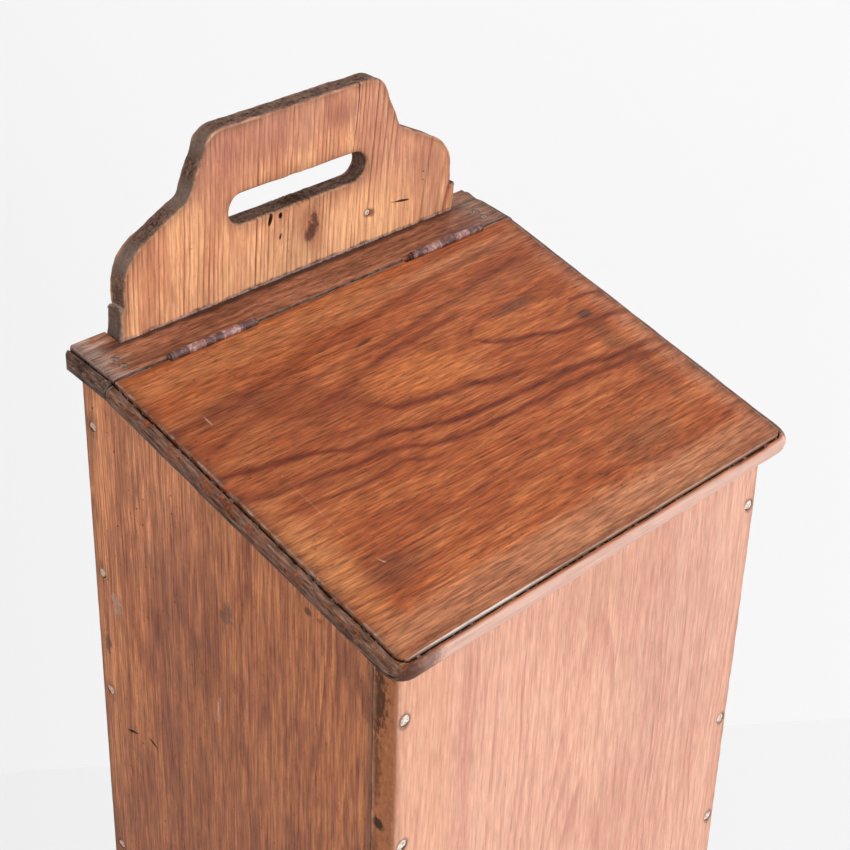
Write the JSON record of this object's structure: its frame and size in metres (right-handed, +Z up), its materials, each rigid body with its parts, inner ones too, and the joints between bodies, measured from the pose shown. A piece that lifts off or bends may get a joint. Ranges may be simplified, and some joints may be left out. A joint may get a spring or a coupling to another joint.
{
  "type": "bread chest",
  "caption": "Tall narrow pine chest with a sloping moulded lid on butt hinges, a fixed ledge and a sawn crest with a hand slot.",
  "frame": {"origin": "on the floor, under the middle of the whole box that the chest fills", "axes": "+X to the chest's right as seen from the front, +Y towards its back, +Z up"},
  "size_m": [0.376, 0.313, 0.849],
  "materials": {
    "crest_pine": "old waxed pine, orange-brown, worn dark at the edges",
    "side_pine": "old waxed pine, mid brown, with worm holes",
    "front_pine": "old waxed pine, pale salmon brown, finely streaked",
    "top_pine": "old waxed pine, red-brown, worn and polished",
    "bare_pine": "unfinished pine",
    "painted_hinge": "worn brown paint over iron",
    "steel": "dull steel",
    "nail_iron": "old nail heads, filled and waxed over"
  },
  "bodies": {
    "chest": {"back_board": "crest_pine", "left_side": "side_pine", "right_side": "side_pine", "front_board": "front_pine", "bottom_board": "bare_pine", "ledge": "top_pine", "left_fixed_leaf": "painted_hinge", "right_fixed_leaf": "painted_hinge", "left_hinge_pin": "steel", "right_hinge_pin": "steel", "ledge_screws": "steel", "front_nails": "nail_iron", "side_nails": "nail_iron", "bottom_nails": "nail_iron", "ledge_nails": "nail_iron", "crest_nail": "nail_iron"},
    "lid": {"lid": "top_pine", "left_lid_leaf": "painted_hinge", "right_lid_leaf": "painted_hinge", "lid_screws": "steel"}
  },
  "joints": [
    {"name": "lid_hinge", "type": "hinge", "parent": "chest", "child": "lid", "pos_m": [0, 0.11, 0.7208], "axis": [-1, 0, 0], "range_deg": [0, 118]}
  ]
}
